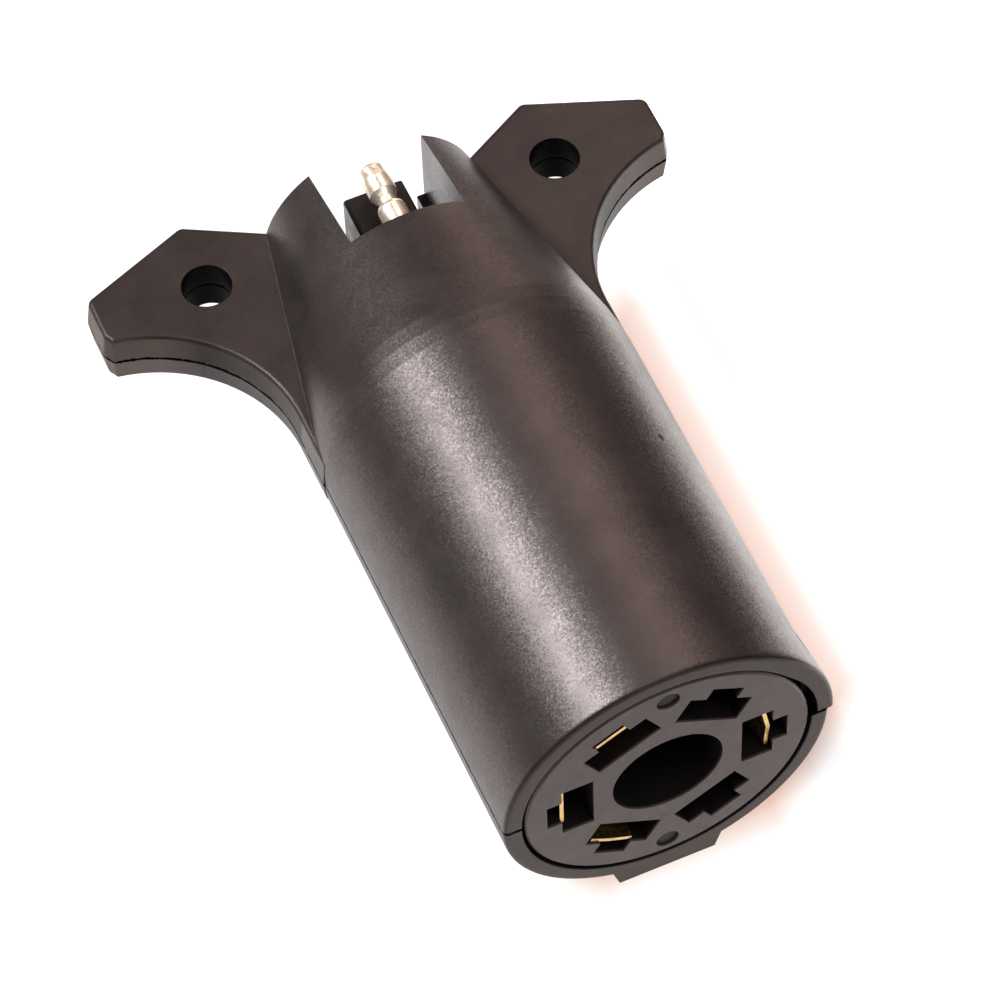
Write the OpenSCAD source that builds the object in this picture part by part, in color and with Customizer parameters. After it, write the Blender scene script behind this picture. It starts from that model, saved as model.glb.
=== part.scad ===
// Trailer wiring connector: a seven-way blade plug joined to a four-way flat plug.
// The origin is the centre of the seven-way face. The barrel runs along +Y, up is +Z,
// and the two mounting ears reach out along X at the far end.

/* [Barrel] */
// Radius of the straight barrel
barrel_r = 21.1; // [20.4:0.1:22]
// Distance from the seven-way face to the start of the taper
taper_start = 57; // [56:0.5:60]
// Distance from the seven-way face to the flat rear end
body_len = 90.5; // [88.5:0.5:92]
// Outer radius of the taper at the rear end
rear_r = 14.6; // [14.4:0.1:15.6]
// Thickness of the shell wall
wall = 2.25; // [2:0.05:2.4]
// Gap left between the two shells on the seam
seam = 0.3; // [0.1:0.05:0.4]
// How far the upper shell bows out at its right hand front corner
bow_out = 0.7; // [0.2:0.1:0.8]
// Radius of the rounded edges at both ends of the barrel
end_round = 0.6; // [0.2:0.1:0.8]

/* [Key rib] */
// Width of the flat key rib under the barrel
key_w = 12.5; // [8:0.1:14]
// Length of the key rib from the face
key_len = 28; // [15:1:40]
// Height of the key rib below the barrel's lowest line
key_h = 1.3; // [0.8:0.1:2]

/* [Mounting ears] */
// Height of the ears' top face above the seam
ear_top = 3.9; // [3:0.1:4.5]
// Depth of the ears' under face below the seam
ear_under = 4.1; // [3:0.1:4.5]
// Distance between the two mounting holes
hole_spacing = 47.7; // [46:0.1:50]
// Distance from the seven-way face to the mounting holes
hole_y = 85.8; // [85:0.1:87]
// Radius of each mounting hole
hole_r = 3.17; // [2.5:0.01:3.5]
// Half width across both ears at the seam
ear_reach = 38.8; // [38:0.1:39.5]
// How much the ears' sides lean in from the seam to each face
ear_draft = 0.4; // [0.2:0.1:0.6]
// Radius of the ears' rounded corners
ear_corner = 1.2; // [1:0.1:1.5]
// Radius of the ears' rounded edges
ear_round = 0.6; // [0.3:0.1:0.8]
// Radius of the hollow sweep from ear to barrel
sweep_r = 20.2; // [19.8:0.1:20.6]

/* [Rear notch] */
// Distance from the seven-way face to the bottom of the notch
notch_y = 76.3; // [76:0.1:78]
// Half width of the notch in the upper shell
notch_half = 7.65; // [7:0.05:8]

/* [Seven-way insert] */
// Radius of the insert
insert_r = 18.4; // [18:0.05:18.5]
// Length of the insert
insert_len = 20; // [18:0.5:21]
// Thickness of the floor that closes the unused pockets
floor_t = 1.5; // [1:0.1:3]
// Radius of the centre hole
centre_r = 7.15; // [6.5:0.05:7.5]
// Distance from the axis to the inner side of each slot
slot_in = 9.6; // [9:0.1:9.8]
// Depth of each slot, measured outward
slot_t = 4.1; // [3.8:0.1:4.3]
// Width of each slot
slot_w = 9.2; // [8.4:0.1:9.4]
// Width of the step on the outer side of each slot
step_w = 4.6; // [3:0.1:5.5]
// Depth of that step
step_t = 1.9; // [1:0.1:2.2]

/* [Contacts] */
// Width of the brass leaves on the left hand side
leaf_w = 7; // [6:0.1:7.8]
// Width of the leaf on the right hand side
tail_w = 7.9; // [7:0.1:8.6]
// Width of the ground leaf
ground_w = 6.1; // [5:0.1:6.6]
// Thickness of the brass
leaf_t = 0.5; // [0.5:0.1:0.9]
// How far the leaves sit behind the face
leaf_recess = 0.8; // [0.4:0.1:2]
// How far each leaf bows in toward the blade
leaf_bow = 1.6; // [0.5:0.1:1.8]

/* [Four-way flat plug] */
// Distance between neighbouring poles
pitch = 7.5; // [7.4:0.1:7.6]
// Height of the exposed pin above the barrel's axis
pin_z = 11.2; // [11:0.1:11.3]
// Half width of the moulded block
block_half = 4.05; // [3.7:0.05:4.1]
// Distance from the seven-way face to the block's end
block_end = 88.4; // [87.5:0.1:89]
// Distance from the seven-way face to the tip of the pin
pin_tip = 88.7; // [88.5:0.1:89.5]
// Radius of the pin
pin_r = 1.85; // [1.8:0.05:2.1]
// Radius of the hole in each sleeve terminal
sleeve_bore = 1.9; // [1.9:0.05:2.1]

/* [Wires] */
// Radius of the wire over its insulation
wire_r = 1.2; // [1:0.05:1.3]
// Radius of the copper core
core_r = 0.55; // [0.4:0.05:0.6]

/* [Hidden] */
$fn = 96;

// Clearance between fixed pieces, and a length that reaches past every face
fit = 0.05;
far = 60;

// Clock positions of the four used slots, as angles about the barrel's axis
GROUND = 240;
TAIL = 0;
LEFT_TURN = 120;
RIGHT_TURN = 180;
USED = [GROUND, TAIL, LEFT_TURN, RIGHT_TURN];
UNUSED = [60, 300];

// Shell: pocket for the insert, groove for its flange, hollow for the wires
pocket_r = barrel_r - wall;
flange_r = pocket_r + 0.9;
flange_from = 13;
flange_to = 16;
hollow_end = 65;
relief_shift = 1.5;
gap_shift = 4;
bow_len = 10;
taper_ease = 2.2;

// Ear: the corners of its outline, and the middle of its hollow sweep
ear_side = ear_reach - ear_draft - ear_corner;
EAR_CORNERS = [[12, 88.1], [23.6, body_len + 4], [ear_side, 89.15], [ear_side, 84.3], [22, 56], [12, 56]];
sweep_mid = [41.1, 62.8];

// Insert and leaf: the leaf lies against the outer side of its slot
slot_out = slot_in + slot_t;
leaf_mid = slot_out - fit - leaf_t / 2;
leaf_bend = 13;
TAIL_LEAN = [10, 4];
GROUND_LEAN = [3, 3];
ground_shift = [0, -0.5, -0.8];
wire_at = leaf_mid - 1.75;

// Flat plug: heights of its four poles, from the pin down, and the block's lengths
POLES = [for (n = [0:3]) pin_z - n * pitch];
block_start = 63.4;
block_top = POLES[1] + 3.6;
block_low = POLES[3] - block_half;
root_r = 3.6;
root_end = 77.8;
collar_from = 68;
collar_to = 70.6;
collar_half = [6, 14.9];
sleeve_r = sleeve_bore + 0.3;
sleeve_end = block_end - 1.2;

// Wires: where the insulation and the bare core end
cover_from = 24.7;
cover_to = 60.3;
core_from = 21.5;
core_to = 63.1;
crimp_t = 0.4;
SIDES = 12;
BENDS = 14;

// Pegs that line up the two shells on the right hand side, mirrored to the left
BOSS = [16.4, 40];
EAR_PEG = [17.1, 84];
peg_r = 1.2;
peg_h = 2.6;

// ---- Shared shapes ----

// Points on a quarter turn of radius r about [x, y], starting at angle a
function quarter(x, y, r, a) = [for (i = [0:4]) [x + r * cos(a + i * 22.5), y + r * sin(a + i * 22.5)]];

// Turns a profile of [radius, distance along the barrel] into a solid about the Y axis
module about_barrel(points) {
    rotate([90, 0, 0])
        mirror([0, 0, 1])
            rotate_extrude()
                polygon(points);
}

// A cylinder along Y between two distances from the face
module rod(r, from, to) {
    translate([0, from, 0])
        rotate([-90, 0, 0])
            cylinder(r = r, h = to - from);
}

// A block from one corner to the opposite corner
module block(a, b) {
    translate(a)
        cube(b - a);
}

// The same shape on both sides of the object
module both_sides() {
    for (side = [0, 1])
        mirror([side, 0, 0])
            children();
}

// Places a shape made for the +X direction at a clock angle about the barrel's axis
module at_clock(angle) {
    rotate([0, -angle, 0])
        children();
}

// Places a shape made on the barrel's axis at one pole of the flat plug
module at_pole(n) {
    translate([0, 0, POLES[n]])
        children();
}

// ---- Shells ----

// Outer form of the barrel and its taper, with its surface moved inward by d
module barrel_form(d) {
    r = barrel_r - d;
    drop = taper_ease * (barrel_r - rear_r) / (body_len - taper_start);
    about_barrel(concat(
        [[0, 0]],
        quarter(r - end_round, end_round, end_round, -90),
        [[r, taper_start - taper_ease], [r - drop / 3, taper_start], [r - drop, taper_start + taper_ease]],
        quarter(rear_r - d - end_round, body_len - end_round, end_round, 0),
        [[0, body_len]]
    ));
}

// The upper shell's right hand edge, bowed out near the face
module bowed_edge() {
    r = barrel_r + bow_out - relief_shift;
    translate([relief_shift, 0, 0])
        about_barrel(concat(
            [[0, 0]],
            quarter(r - end_round, end_round, end_round, -90),
            [[r, 1], [r - bow_out - 0.05, bow_len], [0, bow_len]]
        ));
}

// The hollow that holds the insert and the wires
module barrel_hollow() {
    rod(pocket_r, -1, taper_start - 0.5);
    rod(flange_r + fit, flange_from - fit, flange_to + fit);
    rod(pocket_r - 1.6, taper_start - 2, hollow_end);
}

// Seats for the flat plug: its block, its collar, and the open notch behind them
module flat_plug_seats(half) {
    block([-block_half - fit, hollow_end - 1, block_low - fit], [block_half + fit, body_len + 1, pin_z + root_r + fit]);
    block([-collar_half[0] - fit, collar_from - fit, -collar_half[1] - fit],
        [collar_half[0] + fit, collar_to + fit, collar_half[1] + fit]);
    block([-half, notch_y, -far], [half, body_len + 1, far]);
}

// Hollows in the solid rear ends, so that the walls stay even
module horn_pockets() {
    intersection() {
        barrel_form(wall);
        both_sides()
            block([notch_half + wall, hollow_end + wall, -far], [far, body_len - wall, far]);
    }
}

// Pillars on the inside of the barrel wall that carry the front pegs
module bosses() {
    intersection() {
        barrel_form(wall / 2);
        both_sides()
            translate([BOSS[0], BOSS[1], -far])
                cylinder(r = peg_r + 1.4, h = 2 * far);
    }
}

// A cylinder along Z at each peg position
module at_pegs(r, low, high) {
    both_sides()
        for (p = [BOSS, EAR_PEG])
            translate([p[0], p[1], low])
                cylinder(r = r, h = high - low);
}

// A round puck with softened rims, widest at the seam, which makes one corner of an ear
module ear_puck(p) {
    translate([p[0], p[1], 0])
        rotate_extrude($fn = 32)
            polygon(concat(
                [[0, -ear_under]],
                quarter(ear_corner - ear_round, ear_round - ear_under, ear_round, -90),
                [[ear_corner + ear_draft, 0]],
                quarter(ear_corner - ear_round, ear_top - ear_round, ear_round, 0),
                [[0, ear_top]]
            ));
}

// Section of the space in front of an ear: its outer edge is the ear's leaning, soft-edged side
module sweep_section() {
    lip = sweep_r + ear_round;
    polygon(concat(
        [[0, ear_top + 1], [lip, ear_top + 1]],
        quarter(lip, ear_top - ear_round, ear_round, 90),
        [[sweep_r - ear_draft, 0]],
        quarter(lip, ear_round - ear_under, ear_round, 180),
        [[lip, -ear_under - 1], [0, -ear_under - 1]]
    ));
}

// One ear at full thickness, with the hollow sweep and the thin web along the barrel
module ear() {
    difference() {
        hull()
            for (p = EAR_CORNERS)
                ear_puck(p);
        translate([sweep_mid[0], sweep_mid[1], 0])
            rotate_extrude()
                sweep_section();
        translate([sweep_mid[0] + 0.02, sweep_mid[1], 0])
            rotate([90, 0, 0])
                linear_extrude(12)
                    mirror([1, 0])
                        sweep_section();
    }
}

// Both mounting holes, right through the ears
module ear_holes() {
    both_sides()
        translate([hole_spacing / 2, hole_y, -far])
            cylinder(r = hole_r, h = 2 * far);
}

// Barrel, ears and bosses, hollowed for everything that they hold
module shell_body(half) {
    difference() {
        union() {
            barrel_form(0);
            both_sides()
                ear();
            children();
        }
        barrel_hollow();
        flat_plug_seats(half);
        horn_pockets();
        ear_holes();
    }
    bosses();
}

// Upper half, bowed away from the insert near its right hand edge
module upper_shell() {
    color([0.17, 0.15, 0.15])
        difference() {
            shell_body(notch_half)
                bowed_edge();
            block([-far, -1, -far], [far, 2 * far, seam / 2]);
            at_pegs(peg_r + fit, -1, peg_h + 0.4);
            at_clock(3)
                translate([gap_shift, 0, 0])
                    rod(pocket_r + 0.75 - gap_shift, -1, 3);
        }
}

// Flat rib under the front of the barrel, wider at its root
module key_rib() {
    low = -barrel_r - key_h;
    foot = key_w / 2;
    root = foot + key_h - 0.2;
    intersection() {
        along_barrel(0, key_len)
            polygon([[-root, -pocket_r], [-foot, low], [foot, low], [root, -pocket_r]]);
        translate([-root, 0, 0])
            rotate([90, 0, 90])
                linear_extrude(2 * root)
                    polygon([[0, -pocket_r], [0, low + 0.3], [0.3, low], [key_len - 1, low], [key_len, low + 1],
                        [key_len, -pocket_r]]);
    }
}

// Lower half, with the key rib, the pegs and a thin weld bead along each edge
module lower_shell() {
    color([0.16, 0.14, 0.14]) {
        difference() {
            shell_body(notch_half - 1)
                key_rib();
            block([-far, -1, -seam / 2], [far, 2 * far, far]);
        }
        at_pegs(peg_r, -1, peg_h);
        both_sides()
            block([pocket_r + 1.1, 4, -1], [pocket_r + 1.5, 56, seam / 2]);
    }
}

// ---- Seven-way end ----

// The T-shaped hole of one slot, from the face to a given depth
module slot_cut(depth) {
    block([slot_in, -1, -slot_w / 2], [slot_out, depth, slot_w / 2]);
    block([slot_out - 1, -1, -step_w / 2], [slot_out + step_t, depth, step_w / 2]);
}

// Disc with six slots and a centre hole, held in the shells by a flange
module seven_way_insert() {
    color([0.2, 0.18, 0.18])
        difference() {
            union() {
                about_barrel([[0, 0], [insert_r - 0.3, 0], [insert_r, 0.3], [insert_r, insert_len], [0, insert_len]]);
                rod(flange_r, flange_from, flange_to);
            }
            rod(centre_r, -1, insert_len - floor_t);
            for (angle = USED)
                at_clock(angle)
                    slot_cut(insert_len + 1);
            for (angle = UNUSED)
                at_clock(angle)
                    slot_cut(insert_len - floor_t);
            for (side = [-1, 1])
                translate([0, 0, side * 15.9])
                    rod(1.5, -1, 0.35);
        }
}

// Distance of the leaf's middle line from the axis, at a distance y from the face
function leaf_line(y) = leaf_mid - leaf_bow * pow(sin(180 * (y - leaf_recess) / leaf_bend), 2);

// The bowed leaf: a strip that dips toward the axis and returns to the slot's outer side
module leaf(width) {
    steps = [for (i = [0:12]) leaf_recess + leaf_bend * i / 12];
    linear_extrude(width)
        polygon(concat(
            [for (y = steps) [leaf_line(y) + leaf_t / 2, y]],
            [[leaf_mid + leaf_t / 2, insert_len - 3], [leaf_mid - leaf_t / 2, insert_len - 3]],
            [for (i = [12:-1:0]) [leaf_line(steps[i]) - leaf_t / 2, steps[i]]]
        ));
}

// A flat leaf, centred in its slot
module flat_leaf() {
    translate([0, 0, -leaf_w / 2])
        leaf(leaf_w);
}

// A leaf creased along its length, each half leaning toward the axis by its own angle
module creased_leaf(width, leans) {
    translate([leaf_mid + leaf_t / 2, 0, 0])
        for (side = [0, 1])
            mirror([0, 0, side])
                rotate([0, -leans[side], 0])
                    translate([-leaf_mid - leaf_t / 2, 0, -0.1])
                        leaf(width / 2 + 0.1);
}

// A leaf with side tabs that hold it in the slot, and a tail crimped round its wire
module contact(angle) {
    color([0.8, 0.6, 0.28])
        at_clock(angle) {
            children();
            block([leaf_mid - leaf_t / 2, insert_len - 4, fit - slot_w / 2],
                [leaf_mid + leaf_t / 2, insert_len - 1, slot_w / 2 - fit]);
            difference() {
                union() {
                    block([leaf_mid - leaf_t / 2, insert_len - 1, -1.5], [leaf_mid + leaf_t / 2, cover_from + 2.6, 1.5]);
                    translate([wire_at, 0, 0])
                        rod(core_r + fit + 1, core_from, core_from + 2.2);
                    translate([wire_at, 0, 0])
                        rod(wire_r + fit + crimp_t, cover_from + 0.3, cover_from + 2.6);
                }
                translate([wire_at, 0, 0]) {
                    rod(core_r + fit, core_from - 1, cover_from + 1);
                    rod(wire_r + fit, cover_from - 0.4, cover_from + 3);
                }
            }
        }
}

module ground_contact() {
    contact(GROUND)
        translate(ground_shift)
            creased_leaf(ground_w, GROUND_LEAN);
}

module tail_contact() {
    contact(TAIL)
        creased_leaf(tail_w, TAIL_LEAN);
}

module left_turn_contact() {
    contact(LEFT_TURN)
        flat_leaf();
}

module right_turn_contact() {
    contact(RIGHT_TURN)
        flat_leaf();
}

// ---- Four-way flat end ----

// Outline of the block seen from the end: flat top with soft corners, round underside
module block_outline(top, soft) {
    polygon(concat(
        quarter(block_half - soft, top - soft, soft, 0),
        quarter(soft - block_half, top - soft, soft, 90),
        [for (a = [180:7.5:360]) [block_half * cos(a), POLES[3] + block_half * sin(a)]]
    ));
}

// Extrudes an outline drawn in X and Z along the barrel
module along_barrel(from, to) {
    translate([0, to, 0])
        rotate([90, 0, 0])
            linear_extrude(to - from)
                children();
}

// Moulded block: three closed sleeves in a row, with the root of the exposed pin on top
module four_flat_body() {
    color([0.15, 0.13, 0.13])
        difference() {
            union() {
                along_barrel(block_start, block_end)
                    block_outline(block_top, 0.5);
                along_barrel(block_start, root_end)
                    block_outline(pin_z + root_r, 2.5);
                block([-collar_half[0], collar_from, -collar_half[1]], [collar_half[0], collar_to, collar_half[1]]);
            }
            at_pole(0)
                rod(pin_r + fit, block_start - 1, root_end + 1);
            for (n = [1:3])
                at_pole(n) {
                    rod(pin_r + fit, block_start - 1, block_start + 6);
                    rod(sleeve_r + fit, block_start + 5, block_end + 1);
                    about_barrel([[0, block_end - 0.6], [sleeve_r + fit, block_end - 0.6],
                        [sleeve_r + 0.7, block_end], [0, block_end]]);
                }
        }
}

// Profile of the crimped end that every terminal shares, from its mouth to its shoulder
CRIMP = [
    [wire_r + fit, cover_to - 2.6], [wire_r + fit + crimp_t, cover_to - 2.6],
    [wire_r + fit + crimp_t, cover_to], [core_r + fit + 0.7, cover_to + 0.6],
    [core_r + fit + 0.9, core_to], [pin_r, block_start]
];
CRIMP_HOLE = [
    [0, core_to + 0.1], [core_r + fit, core_to + 0.1], [core_r + fit, cover_to + 0.2], [wire_r + fit, cover_to + 0.2]
];

// Bullet pin: shank, narrow neck, long bulge and blunt tip
module ground_pin() {
    neck = pin_tip - 6;
    color([0.86, 0.83, 0.78])
        at_pole(0)
            about_barrel(concat(
                CRIMP,
                [[pin_r, neck - 0.9], [pin_r - 0.12, neck - 0.5], [pin_r - 0.6, neck - 0.2]],
                [for (i = [0:4]) [pin_r - 0.7 * pow(cos(i * 22.5), 2), neck + 1.7 * sin(i * 22.5)]],
                [[pin_r, pin_tip - 2.1], [pin_r - 0.1, pin_tip - 1.2]],
                quarter(pin_r - 0.65, pin_tip - 0.5, 0.5, 0),
                [[0, pin_tip]],
                CRIMP_HOLE
            ));
}

// Sleeve terminal, open toward the mating plug
module sleeve(n) {
    color([0.82, 0.66, 0.36])
        at_pole(n)
            about_barrel(concat(
                CRIMP,
                [[pin_r, block_start + 6], [sleeve_r, block_start + 6.4], [sleeve_r, sleeve_end], [sleeve_bore, sleeve_end],
                    [sleeve_bore, block_start + 8], [0, block_start + 8]],
                CRIMP_HOLE
            ));
}

module tail_socket() {
    sleeve(1);
}

module left_turn_socket() {
    sleeve(2);
}

module right_turn_socket() {
    sleeve(3);
}

// ---- Wires ----

// Distances from the face at which the rings of a wire stand
function stations(start, from, to, end) =
    concat([start], [for (i = [0:BENDS]) from + (to - from) * i / BENDS], [end]);

// How far along its sideways shift a wire has come at y: 0 before the bend, 1 after it
function eased(y, from, to) = (1 - cos(180 * max(0, min(1, (y - from) / (to - from))))) / 2;

// Angle between a wire and the barrel at y
function lean(y, from, to, shift) =
    y <= from || y >= to ? 0 : atan(shift * PI / 2 * sin(180 * (y - from) / (to - from)) / (to - from));

// One ring of radius r square to the wire at y, in the plane of its shift
function ring(y, from, to, shift, r) = [
    for (a = [0:360 / SIDES:359])
        [
            shift * eased(y, from, to) + r * cos(a) * cos(lean(y, from, to, shift)),
            y - r * cos(a) * sin(lean(y, from, to, shift)),
            r * sin(a)
        ]
];

// Two triangles for each side between ring k and ring m
function band(k, m) = [
    for (j = [0:SIDES - 1])
        let (next = (j + 1) % SIDES)
            for (side = [0, 1])
                side == 0
                    ? [k * SIDES + j, m * SIDES + j, m * SIDES + next]
                    : [k * SIDES + j, m * SIDES + next, k * SIDES + next]
];

// Skin over a list of rings, closed at its ends or joined back to its first ring
module skin(rings, joined) {
    last = len(rings) - 1;
    bands = [for (k = [0:last - 1]) each band(k, k + 1)];
    caps = [[for (j = [0:SIDES - 1]) j], [for (j = [SIDES - 1:-1:0]) last * SIDES + j]];
    polyhedron(points = [for (r = rings) each r], faces = concat(bands, joined ? band(last, 0) : caps));
}

// Runs a wire of radius r from a contact to a pole, hollow if hole is above zero.
// It bends sideways between from and to, and its whole run lies between start and end.
module run(angle, n, start, end, r, hole) {
    from = bend_from(n);
    to = bend_to(n);
    ax = wire_at * cos(angle);
    az = wire_at * sin(angle);
    shift = norm([ax, POLES[n] - az]);
    ys = stations(start, from, to, end);
    outer = [for (y = ys) ring(y, from, to, shift, r)];
    inner = [for (i = [len(ys) - 1:-1:0]) ring(ys[i], from, to, shift, hole)];
    translate([ax, 0, az])
        rotate([0, -atan2(POLES[n] - az, -ax), 0])
            if (hole > 0)
                skin(concat(outer, inner), true);
            else
                skin(outer, false);
}

// The ground wire crosses over first, the other three bend behind it
function bend_from(n) = n == 0 ? 28.5 : 37;
function bend_to(n) = n == 0 ? 53 : 57;

// Insulation of one wire
module cover(angle, n) {
    run(angle, n, cover_from, cover_to, wire_r, core_r + 0.03);
}

// Copper core of one wire
module core(angle, n) {
    color([0.75, 0.45, 0.25])
        run(angle, n, core_from, core_to, core_r, 0);
}

module ground_wire() {
    color([0.92, 0.92, 0.9])
        cover(GROUND, 0);
}

module tail_wire() {
    color([0.38, 0.22, 0.13])
        cover(TAIL, 1);
}

module left_turn_wire() {
    color([0.92, 0.78, 0.12])
        cover(LEFT_TURN, 2);
}

module right_turn_wire() {
    color([0.1, 0.45, 0.2])
        cover(RIGHT_TURN, 3);
}

module ground_core() {
    core(GROUND, 0);
}

module tail_core() {
    core(TAIL, 1);
}

module left_turn_core() {
    core(LEFT_TURN, 2);
}

module right_turn_core() {
    core(RIGHT_TURN, 3);
}

upper_shell();
lower_shell();
seven_way_insert();
ground_contact();
tail_contact();
left_turn_contact();
right_turn_contact();
four_flat_body();
ground_pin();
tail_socket();
left_turn_socket();
right_turn_socket();
ground_wire();
tail_wire();
left_turn_wire();
right_turn_wire();
ground_core();
tail_core();
left_turn_core();
right_turn_core();
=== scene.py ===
"""Looks for the trailer wiring connector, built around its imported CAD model.

The seven-way face lies at the low end of Y, the barrel runs along Y, and the two
mounting ears reach out along X at the far end. Everything is in metres.
"""

import math

import bpy
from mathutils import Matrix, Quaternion, Vector


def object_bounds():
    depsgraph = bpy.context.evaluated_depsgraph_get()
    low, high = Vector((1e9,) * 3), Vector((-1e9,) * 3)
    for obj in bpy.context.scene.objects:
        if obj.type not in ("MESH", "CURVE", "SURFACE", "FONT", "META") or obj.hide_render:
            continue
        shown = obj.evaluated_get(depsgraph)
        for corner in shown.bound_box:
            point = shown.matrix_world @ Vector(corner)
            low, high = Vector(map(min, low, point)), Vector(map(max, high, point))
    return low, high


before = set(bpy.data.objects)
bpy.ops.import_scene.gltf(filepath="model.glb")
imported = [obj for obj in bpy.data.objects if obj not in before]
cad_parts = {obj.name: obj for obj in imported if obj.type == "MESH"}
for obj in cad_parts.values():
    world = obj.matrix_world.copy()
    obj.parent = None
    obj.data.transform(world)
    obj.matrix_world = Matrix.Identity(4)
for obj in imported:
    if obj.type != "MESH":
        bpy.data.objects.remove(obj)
CAD_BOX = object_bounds()

MM = 0.001

# ---- Sizes of the part that its looks depend on ----

BARREL_R = 21.1 * MM
TAPER_START_Y = 57 * MM
TAPER_END_Y = 90.5 * MM
TAPER_END_R = 14.6 * MM
HOLE_X = 23.85 * MM
HOLE_Y = 85.8 * MM
HOLE_R = 3.2 * MM
CHEEK_X = 12 * MM
NICK = Vector((15.0, 34.5, 14.8)) * MM
SCUFF = Vector((19.7, 5.0, 7.56)) * MM
BEYOND_THE_PART = 200 * MM

# ---- Colours ----

BLACK = (0.010, 0.0085, 0.0082, 1.0)
BLACK_WORN = (0.017, 0.0145, 0.014, 1.0)
BLOCK_BLACK = (0.006, 0.005, 0.005, 1.0)
RUBBED_EDGE = (0.05, 0.045, 0.044, 1.0)
# Painted reflection on the front face of the shells.
FRONT_PAINTED_REFLECTION = (0.085, 0.066, 0.06, 1.0)
INSERT_GREY = (0.094, 0.072, 0.065, 1.0)
# Black for the real marks and the seam, and painted shade on the mounting hole walls.
MARK_AND_SHADE_BLACK = (0.003, 0.0026, 0.0026, 1.0)
# Painted shade deep in the insert's pockets.
RECESS_SHADE_BLACK = (0.012, 0.0095, 0.0105, 1.0)
NICKEL = (0.92, 0.86, 0.74, 1.0)
NICKEL_DULL = (0.78, 0.7, 0.58, 1.0)
BRASS = (0.86, 0.58, 0.24, 1.0)
BRASS_DULL = (0.55, 0.33, 0.13, 1.0)
TINNED = (0.78, 0.66, 0.42, 1.0)
TINNED_DULL = (0.5, 0.4, 0.24, 1.0)
COPPER = (0.78, 0.36, 0.2, 1.0)
COPPER_SHADE = (0.32, 0.12, 0.06, 1.0)
WIRE_COLOURS = {
    "ground": (0.84, 0.84, 0.8, 1.0),
    "tail": (0.12, 0.055, 0.028, 1.0),
    "left_turn": (0.8, 0.56, 0.03, 1.0),
    "right_turn": (0.02, 0.2, 0.06, 1.0),
}
TABLE_GREY = (0.12, 0.12, 0.12, 1.0)
GLOW_WHITE = (1.0, 1.0, 1.0, 1.0)
GLOW_WARM = (1.0, 0.86, 0.81, 1.0)
# Painted shadow on the floor beside the barrel.
PAINTED_SHADOW_PINK = (0.8, 0.56, 0.47, 1.0)
ROOM_WARM = (1.0, 0.85, 0.8, 1.0)


def shade(colour, factor):
    """A colour made lighter or darker by a factor."""
    return tuple(min(1.0, c * factor) for c in colour[:3]) + (1.0,)


# ---- Node helpers ----

def new_material(name, roughness, metallic=0.0):
    """A Principled material with its uniform values set on the shader itself."""
    material = bpy.data.materials.new(name)
    material.use_nodes = True
    shader = material.node_tree.nodes["Principled BSDF"]
    shader.inputs["Roughness"].default_value = roughness
    shader.inputs["Metallic"].default_value = metallic
    shader.inputs["IOR"].default_value = 1.5
    return material, shader


def add(material, kind, **values):
    """Adds a node and sets its attributes or, failing that, its inputs of the same name."""
    node = material.node_tree.nodes.new(kind)
    for name, value in values.items():
        if hasattr(node, name):
            setattr(node, name, value)
        else:
            node.inputs[name.replace("_", " ")].default_value = value
    return node


def link(material, source, target):
    material.node_tree.links.new(source, target)


def place(material):
    """The point being shaded, in the object's own frame."""
    return add(material, "ShaderNodeTexCoord").outputs["Object"]


def surface_normal(material):
    """The direction the surface faces."""
    return add(material, "ShaderNodeNewGeometry").outputs["Normal"]


def split_xyz(material, vector):
    """The three components of a vector socket."""
    node = add(material, "ShaderNodeSeparateXYZ")
    link(material, vector, node.inputs[0])
    return node.outputs


def noise(material, size, detail=4.0, roughness=0.55):
    """Noise whose features are about size metres across."""
    node = add(material, "ShaderNodeTexNoise", Scale=1.0 / size, Detail=detail, Roughness=roughness)
    link(material, place(material), node.inputs["Vector"])
    return node.outputs["Fac"]


def specks(material, size):
    """A random colour for every cell of a pattern about size metres across."""
    node = add(material, "ShaderNodeTexVoronoi", Scale=1.0 / size)
    link(material, place(material), node.inputs["Vector"])
    return node.outputs["Color"]


def remap(material, source, low, high, to_low, to_high):
    """Stretches a value from one range to another, held at both ends."""
    node = add(material, "ShaderNodeMapRange")
    for socket, value in zip(node.inputs[1:5], (low, high, to_low, to_high)):
        socket.default_value = value
    link(material, source, node.inputs[0])
    return node.outputs[0]


def maths(material, operation, first, second=0.0):
    """One maths node. Either operand may be a socket or a number."""
    node = add(material, "ShaderNodeMath", operation=operation)
    for socket, value in zip(node.inputs, (first, second)):
        if isinstance(value, (int, float)):
            socket.default_value = value
        else:
            link(material, value, socket)
    return node.outputs[0]


def times(material, first, second):
    """The product of two sockets or numbers."""
    return maths(material, "MULTIPLY", first, second)


def hypotenuse(material, first, second):
    """The distance that two sockets at right angles add up to."""
    squares = maths(material, "ADD", times(material, first, first), times(material, second, second))
    return maths(material, "SQRT", squares)


def vector_maths(material, operation, first, second=(0.0, 0.0, 0.0)):
    """One vector maths node. Either operand may be a socket or a fixed vector."""
    node = add(material, "ShaderNodeVectorMath", operation=operation)
    for socket, value in zip(node.inputs, (first, second)):
        if isinstance(value, (tuple, Vector)):
            socket.default_value = value
        else:
            link(material, value, socket)
    return node


def mix_colours(material, factor, first, second):
    """Blends two colours by a factor socket."""
    node = add(material, "ShaderNodeMix", data_type="RGBA")
    for socket, value in ((node.inputs[6], first), (node.inputs[7], second)):
        if isinstance(value, tuple):
            socket.default_value = value
        else:
            link(material, value, socket)
    link(material, factor, node.inputs[0])
    return node.outputs[2]


def bump(material, height, distance, strength=1.0, before=None):
    """Raises the surface by a height socket. Strength may be a socket."""
    node = add(material, "ShaderNodeBump", Distance=distance)
    link(material, height, node.inputs["Height"])
    if isinstance(strength, (int, float)):
        node.inputs["Strength"].default_value = strength
    else:
        link(material, strength, node.inputs["Strength"])
    if before is not None:
        link(material, before, node.inputs["Normal"])
    return node.outputs["Normal"]


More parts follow.
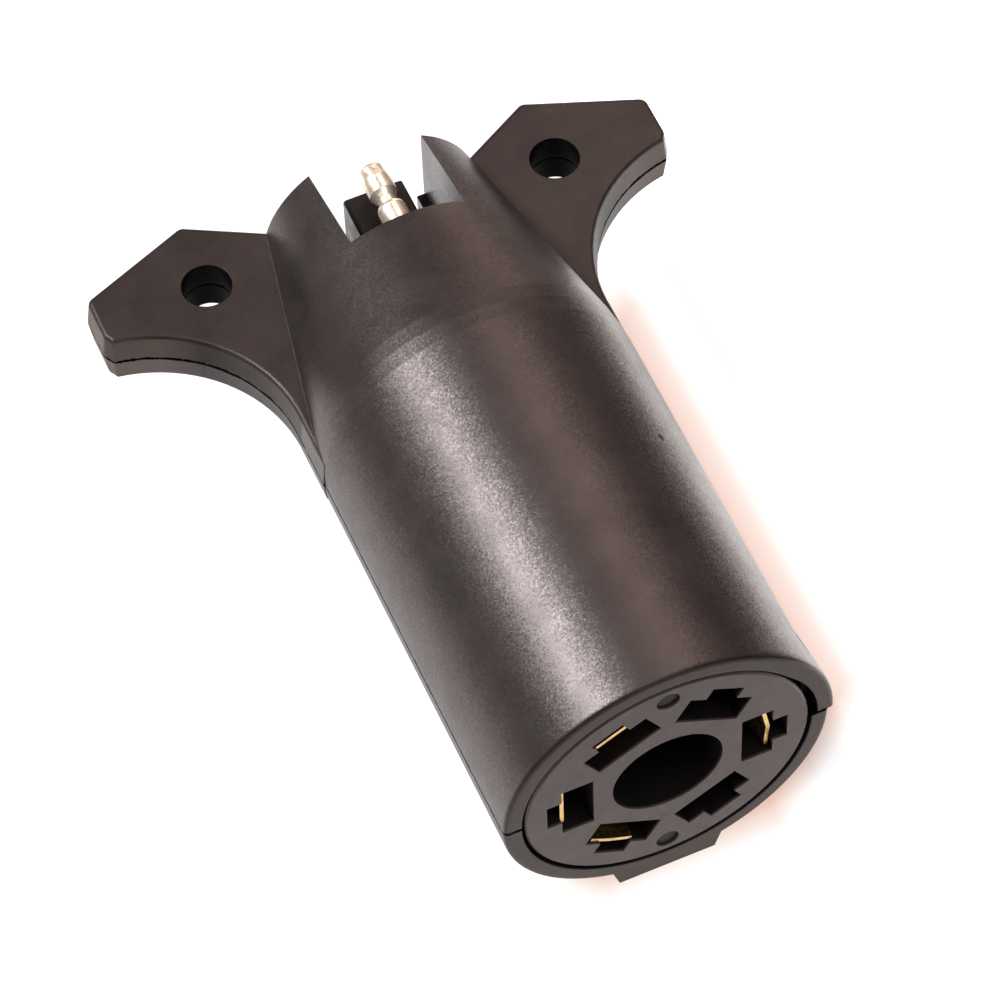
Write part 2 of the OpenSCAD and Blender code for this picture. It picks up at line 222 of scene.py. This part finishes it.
def tilt(material, normal, lean, amount):
    """Leans a normal by a random colour. Amount is a socket."""
    centred = vector_maths(material, "SUBTRACT", lean, (0.5, 0.5, 0.5)).outputs[0]
    scaled = add(material, "ShaderNodeVectorMath", operation="SCALE")
    link(material, centred, scaled.inputs[0])
    link(material, amount, scaled.inputs["Scale"])
    leaning = vector_maths(material, "ADD", normal, scaled.outputs[0]).outputs[0]
    return vector_maths(material, "NORMALIZE", leaning).outputs[0]


# ---- Masks ----

def barrel_mask(material):
    """1 on the turned outside of the barrel and its taper, 0 on ears, faces and insides."""
    x, y, z = split_xyz(material, place(material))
    radius = hypotenuse(material, x, z)
    outline = remap(material, y, TAPER_START_Y, TAPER_END_Y, BARREL_R, TAPER_END_R)
    above = maths(material, "SUBTRACT", radius, outline)
    skin = times(material, remap(material, above, -0.6 * MM, -0.4 * MM, 0.0, 1.0),
                 remap(material, above, 0.9 * MM, 1.1 * MM, 1.0, 0.0))
    normal_x, _, normal_z = split_xyz(material, surface_normal(material))
    along = maths(material, "ADD", times(material, x, normal_x), times(material, z, normal_z))
    outward = maths(material, "DIVIDE", along, radius)
    return times(material, skin, remap(material, outward, 0.75, 0.9, 0.0, 1.0))


def edge_wear(material, width):
    """1 in broken patches along sharp edges, about width metres to each side, 0 elsewhere."""
    soft = add(material, "ShaderNodeBevel", Radius=width).outputs["Normal"]
    turn = vector_maths(material, "DOT_PRODUCT", soft, surface_normal(material)).outputs["Value"]
    rubbed = remap(material, noise(material, 1.5 * MM, 4.0), 0.35, 0.6, 0.2, 1.0)
    return times(material, remap(material, turn, 0.98, 0.85, 0.0, 1.0), rubbed)


def seam_mask(material):
    """1 along the joint of the two shells, with the ragged edge of a thin flash line."""
    z = split_xyz(material, place(material))[2]
    ragged = remap(material, noise(material, 1.1 * MM, 3.0, 0.7), 0.4, 0.75, 0.2 * MM, 0.6 * MM)
    inside = maths(material, "SUBTRACT", ragged, maths(material, "ABSOLUTE", z))
    return remap(material, inside, 0.0, 0.08 * MM, 0.0, 1.0)


def hole_shade_mask(material):
    """1 on the walls of the two mounting holes, where shade is painted."""
    x, y, _ = split_xyz(material, place(material))
    across = maths(material, "SUBTRACT", maths(material, "ABSOLUTE", x), HOLE_X)
    ahead = maths(material, "SUBTRACT", y, HOLE_Y)
    reach = hypotenuse(material, across, ahead)
    return remap(material, reach, HOLE_R, HOLE_R + 0.1 * MM, 1.0, 0.0)


def nick_mask(material, centre, squeeze):
    """1 in a small dark mark at a point. A lower squeeze makes it longer along that axis."""
    shift = vector_maths(material, "SUBTRACT", place(material), centre).outputs[0]
    scaled = vector_maths(material, "MULTIPLY", shift, squeeze).outputs[0]
    reach = vector_maths(material, "LENGTH", scaled).outputs["Value"]
    return remap(material, reach, 0.25 * MM, 0.4 * MM, 1.0, 0.0)


def cheek_mask(material):
    """1 on the flat faces turned to either side beside the bullet pin."""
    sideways = maths(material, "ABSOLUTE", split_xyz(material, surface_normal(material))[0])
    away = maths(material, "ABSOLUTE", split_xyz(material, place(material))[0])
    return times(material, remap(material, sideways, 0.85, 0.95, 0.0, 1.0),
                 remap(material, away, CHEEK_X, CHEEK_X + MM, 1.0, 0.0))


def marks_and_hole_shade(material):
    """1 in the nick, the scuff and the seam, and as painted shade on the walls of the mounting holes."""
    marks = maths(material, "MAXIMUM", nick_mask(material, NICK, (0.7, 0.6, 0.7)),
                  nick_mask(material, SCUFF, (0.35, 0.16, 0.35)))
    seam_and_hole_shade = maths(material, "MAXIMUM", seam_mask(material), hole_shade_mask(material))
    return maths(material, "MAXIMUM", marks, seam_and_hole_shade)


# ---- Materials of the part ----

def shell_colour(material, dark):
    """Clouded black, with a painted reflection making the front face greyer, rubbed at the edges, and
    darkest where dark is 1: the marks, the seam and the painted shade in the mounting holes.
    """
    facing_y = split_xyz(material, surface_normal(material))[1]
    # Painted reflection: faces turned to the front are painted greyer.
    front = remap(material, facing_y, -0.9, -0.75, 1.0, 0.0)
    cloud = remap(material, noise(material, 6 * MM, 3.0), 0.35, 0.65, 0.0, 1.0)
    body = mix_colours(material, cloud, BLACK, BLACK_WORN)
    faced = mix_colours(material, front, body, FRONT_PAINTED_REFLECTION)
    worn = mix_colours(material, edge_wear(material, 0.3 * MM), faced, RUBBED_EDGE)
    # Painted shade blackens the mounting hole walls; the nick, scuff and seam are real dark marks.
    return mix_colours(material, dark, worn, MARK_AND_SHADE_BLACK)


def shell_roughness(material, barrel, cheek, speck):
    """Uneven satin, smoother on the cheeks and speckled on the barrel."""
    smooth = remap(material, noise(material, 3.5 * MM, 4.0), 0.3, 0.7, 0.375, 0.43)
    polished = maths(material, "SUBTRACT", smooth, times(material, cheek, 0.14))
    centred = maths(material, "SUBTRACT", split_xyz(material, speck)[0], 0.5)
    uneven = times(material, centred, remap(material, barrel, 0.0, 1.0, 0.0, 0.05))
    return maths(material, "ADD", polished, uneven)


def shell_gloss(material, barrel, cheek, dark):
    """Strongest on the barrel and the cheeks, weaker on upright faces, least in the dark marks and the
    painted hole shade.
    """
    facing_z = maths(material, "ABSOLUTE", split_xyz(material, surface_normal(material))[2])
    upright = remap(material, facing_z, 0.2, 0.4, 0.14, 0.27)
    shiny = times(material, maths(material, "MAXIMUM", barrel, cheek), 0.5)
    return times(material, maths(material, "MAXIMUM", upright, shiny),
                 remap(material, dark, 0.0, 1.0, 1.0, 0.1))


def shell_plastic():
    """Black moulding: spark-eroded on the barrel, smooth satin on the ears and faces."""
    material, shader = new_material("shell_plastic", 0.4)
    barrel = barrel_mask(material)
    cheek = cheek_mask(material)
    dark = marks_and_hole_shade(material)
    speck = specks(material, 0.2 * MM)
    link(material, shell_colour(material, dark), shader.inputs["Base Color"])
    link(material, shell_roughness(material, barrel, cheek, speck), shader.inputs["Roughness"])
    link(material, shell_gloss(material, barrel, cheek, dark), shader.inputs["Specular IOR Level"])
    rounded = add(material, "ShaderNodeBevel", Radius=0.35 * MM).outputs["Normal"]
    grain = bump(material, noise(material, 0.3 * MM, 3.0, 0.7), 0.03 * MM,
                 remap(material, barrel, 0.0, 1.0, 0.2, 0.25), rounded)
    sparkle = remap(material, barrel, 0.0, 1.0, 0.05, 0.1)
    link(material, tilt(material, grain, speck, sparkle), shader.inputs["Normal"])
    return material


def smooth_plastic(name, base, roughness, depth, gloss):
    """Black moulding without the eroded texture. Painted shade turns it black deeper than depth along Y,
    inside its pockets.
    """
    material, shader = new_material(name, roughness)
    flow = remap(material, noise(material, 4 * MM, 3.0), 0.35, 0.65, 0.0, 1.0)
    face = mix_colours(material, flow, base, shade(base, 1.25))
    worn = mix_colours(material, edge_wear(material, 0.2 * MM), face, shade(base, 1.8))
    y = split_xyz(material, place(material))[1]
    # Painted shade: deeper than depth along Y the colour goes black and the gloss drops.
    recess_shade = remap(material, y, depth, depth + 0.25 * MM, 0.0, 1.0)
    link(material, mix_colours(material, recess_shade, worn, RECESS_SHADE_BLACK), shader.inputs["Base Color"])
    cheek = times(material, cheek_mask(material), 0.5 - gloss)
    level = maths(material, "ADD", remap(material, recess_shade, 0.0, 1.0, gloss, 0.12), cheek)
    link(material, level, shader.inputs["Specular IOR Level"])
    spread = remap(material, noise(material, 1.2 * MM, 4.0), 0.3, 0.7, roughness - 0.05, roughness + 0.06)
    link(material, spread, shader.inputs["Roughness"])
    ripple = bump(material, noise(material, 0.22 * MM, 2.0), 0.02 * MM, 0.35)
    link(material, ripple, shader.inputs["Normal"])
    return material


def metal(name, base, tarnish, roughness, grain=0.3, metallic=1.0):
    """Formed metal: tarnish in soft patches, and drawing marks along the barrel."""
    material, shader = new_material(name, roughness, metallic)
    patch = remap(material, noise(material, 1.6 * MM, 5.0), 0.42, 0.72, 0.0, 1.0)
    link(material, mix_colours(material, patch, base, tarnish), shader.inputs["Base Color"])
    spread = remap(material, noise(material, 0.8 * MM, 4.0), 0.3, 0.7, roughness * 0.75, roughness * 1.4)
    link(material, spread, shader.inputs["Roughness"])
    stretch = add(material, "ShaderNodeMapping", Scale=(1.0, 0.06, 1.0))
    link(material, place(material), stretch.inputs["Vector"])
    marks = add(material, "ShaderNodeTexNoise", Scale=1.0 / (0.12 * MM), Detail=3.0)
    link(material, stretch.outputs[0], marks.inputs["Vector"])
    link(material, bump(material, marks.outputs["Fac"], 0.01 * MM, grain), shader.inputs["Normal"])
    return material


def insulation(name, base):
    """Wire insulation: glossy, with a slight orange-peel skin and handling marks."""
    material, shader = new_material(name, 0.32)
    dirt = remap(material, noise(material, 2 * MM, 4.0), 0.4, 0.75, 0.0, 1.0)
    link(material, mix_colours(material, dirt, base, shade(base, 0.8)), shader.inputs["Base Color"])
    peel = bump(material, noise(material, 0.5 * MM, 2.0), 0.02 * MM, 0.3)
    link(material, peel, shader.inputs["Normal"])
    return material


def strands():
    """Bare copper strands twisted along the wire."""
    material, shader = new_material("copper_strands", 0.3, metallic=1.0)
    wave = add(material, "ShaderNodeTexWave", wave_type="BANDS", bands_direction="DIAGONAL", Scale=1100.0)
    link(material, place(material), wave.inputs["Vector"])
    tone = wave.outputs["Fac"]
    link(material, mix_colours(material, tone, COPPER_SHADE, COPPER), shader.inputs["Base Color"])
    link(material, bump(material, tone, 0.05 * MM, 0.8), shader.inputs["Normal"])
    return material


def paint(node, material):
    """Gives one CAD node its only material."""
    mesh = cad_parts[node].data
    mesh.materials.clear()
    mesh.materials.append(material)


def paint_all():
    """Every CAD node gets its material."""
    shell = shell_plastic()
    paint("upper_shell", shell)
    paint("lower_shell", shell)
    paint("seven_way_insert", smooth_plastic("insert_plastic", INSERT_GREY, 0.46, 0.15 * MM, 0.35))
    paint("four_flat_body", smooth_plastic("block_plastic", BLOCK_BLACK, 0.32, BEYOND_THE_PART, 0.15))
    paint("ground_pin", metal("bright_nickel", NICKEL, NICKEL_DULL, 0.3, 0.15, 0.8))
    brass = metal("brass_strip", BRASS, BRASS_DULL, 0.27)
    sleeve = metal("tinned_sleeve", TINNED, TINNED_DULL, 0.25)
    copper = strands()
    for circuit, colour in WIRE_COLOURS.items():
        paint(circuit + "_contact", brass)
        paint(circuit + "_core", copper)
        paint(circuit + "_wire", insulation(circuit + "_insulation", colour))
        if circuit != "ground":
            paint(circuit + "_socket", sleeve)


# ---- Table ----

def band(material, value, rise, fall):
    """0, then up to 1 over the rise and back down over the fall, both in millimetres."""
    return times(material, remap(material, value, rise[0] * MM, rise[1] * MM, 0.0, 1.0),
                 remap(material, value, fall[0] * MM, fall[1] * MM, 1.0, 0.0))


def table_shade(material, x, y):
    """How much of the glow is lost under the barrel and beside the right ear."""
    under = times(material, band(material, x, (-16, -8), (22, 29)), band(material, y, (2, 14), (62, 78)))
    by_ear = times(material, band(material, x, (33, 38), (50, 56)), band(material, y, (55, 62), (82, 90)))
    return maths(material, "MAXIMUM", times(material, under, 0.95), times(material, by_ear, 0.45))


def side_glow(material, x, y):
    """The glow's strength: highest far to the right in front, and raised again far to the left."""
    right = times(material, remap(material, x, 31 * MM, 62 * MM, 0.0, 2.68),
                  remap(material, y, 105 * MM, 130 * MM, 1.0, 0.45))
    return maths(material, "ADD", right, remap(material, x, -50 * MM, -25 * MM, 1.72, 1.02))


def light_pool_mask(material, x, y):
    """1 within the round pool of painted floor light, falling off beyond its edge."""
    across = maths(material, "SUBTRACT", x, 8 * MM)
    ahead = maths(material, "SUBTRACT", y, 65 * MM)
    return remap(material, hypotenuse(material, across, ahead), 108 * MM, 135 * MM, 1.0, 0.1)


def glow_colour(material, x, y):
    """White, warmer far out to both sides, and a pink painted shadow in a strip that hugs the barrel."""
    edges = maths(material, "MAXIMUM", remap(material, x, 50 * MM, 80 * MM, 0.0, 1.0),
                  remap(material, x, -55 * MM, -30 * MM, 1.0, 0.0))
    white = mix_colours(material, edges, GLOW_WHITE, GLOW_WARM)
    behind_rim = maths(material, "SUBTRACT", y, remap(material, x, 15 * MM, 31 * MM, 0.0, 12 * MM))
    # Painted shadow: a pink strip on the floor beside and in front of the barrel.
    beside = times(material, band(material, x, (-14, -8), (28, 35.5)),
                   band(material, behind_rim, (-2, 2.5), (66, 72)))
    return mix_colours(material, beside, white, PAINTED_SHADOW_PINK)


def make_floor():
    """Pale table just under the key rib. Its own glow stands in for the room's light."""
    low = CAD_BOX[0].z - 0.02 * MM
    bpy.ops.mesh.primitive_plane_add(size=6.0, location=(0.0, 0.0, low))
    floor = bpy.context.object
    floor.name = "floor"
    material, shader = new_material("pale_table", 0.7)
    shader.inputs["Base Color"].default_value = TABLE_GREY
    x, y, _ = split_xyz(material, place(material))
    lit = times(material, side_glow(material, x, y), light_pool_mask(material, x, y))
    strength = times(material, lit, maths(material, "SUBTRACT", 1.0, table_shade(material, x, y)))
    link(material, strength, shader.inputs["Emission Strength"])
    link(material, glow_colour(material, x, y), shader.inputs["Emission Color"])
    floor.data.materials.append(material)


# ---- Lights and camera ----

MIDDLE = (CAD_BOX[0] + CAD_BOX[1]) / 2
LIGHT_DISTANCE = 0.9
CAMERA_AZIMUTH, CAMERA_ELEVATION, CAMERA_ROLL = map(math.radians, (-21.64, 56.43, -2.57))
CAMERA_AIM = MIDDLE + Vector((-2.25, -3.96, -0.35)) * MM
CAMERA_DISTANCE = 0.6144
CAMERA_LENS = 180.56


def area_light(name, direction, width, height, power, colour):
    """A rectangular soft light that faces the object from a direction."""
    data = bpy.data.lights.new(name, "AREA")
    data.shape = "RECTANGLE"
    data.size = width
    data.size_y = height
    data.energy = power
    data.color = colour
    lamp = bpy.data.objects.new(name, data)
    bpy.context.scene.collection.objects.link(lamp)
    away = Vector(direction).normalized()
    lamp.location = MIDDLE + away * LIGHT_DISTANCE
    lamp.rotation_euler = (-away).to_track_quat("-Z", "Y").to_euler()


def make_lights():
    """A main softbox up behind the left ear, with dim warm cards above, in front and behind."""
    area_light("main_softbox", (-0.51, 0.38, 0.73), 0.11, 0.29, 12.8, (1.0, 0.88, 0.87))
    area_light("warm_overhead", (0.38, 0.42, 0.82), 0.4, 0.45, 2.9, (1.0, 0.68, 0.6))
    area_light("front_card", (0.15, -0.35, 0.9), 0.5, 0.5, 2.6, (1.0, 0.96, 0.9))
    area_light("warm_rear", (0.5, 0.84, 0.2), 0.3, 0.3, 0.9, (1.0, 0.66, 0.55))
    world = bpy.data.worlds.new("studio")
    bpy.context.scene.world = world
    world.use_nodes = True
    room = world.node_tree.nodes["Background"]
    room.inputs["Color"].default_value = ROOM_WARM
    room.inputs["Strength"].default_value = 0.1


def make_camera():
    """A long lens from the front left, well above the table."""
    level = math.cos(CAMERA_ELEVATION)
    back = Vector((math.sin(CAMERA_AZIMUTH) * level, -math.cos(CAMERA_AZIMUTH) * level,
                   math.sin(CAMERA_ELEVATION)))
    data = bpy.data.cameras.new("camera")
    data.sensor_width = 36.0
    data.lens = CAMERA_LENS
    camera = bpy.data.objects.new("camera", data)
    bpy.context.scene.collection.objects.link(camera)
    camera.location = CAMERA_AIM + back * CAMERA_DISTANCE
    camera.rotation_mode = "QUATERNION"
    turned = Quaternion((0.0, 0.0, 1.0), CAMERA_ROLL)
    camera.rotation_quaternion = (-back).to_track_quat("-Z", "Y") @ turned
    bpy.context.scene.camera = camera


paint_all()
make_floor()
make_lights()
make_camera()
bpy.context.scene.view_settings.view_transform = "Standard"
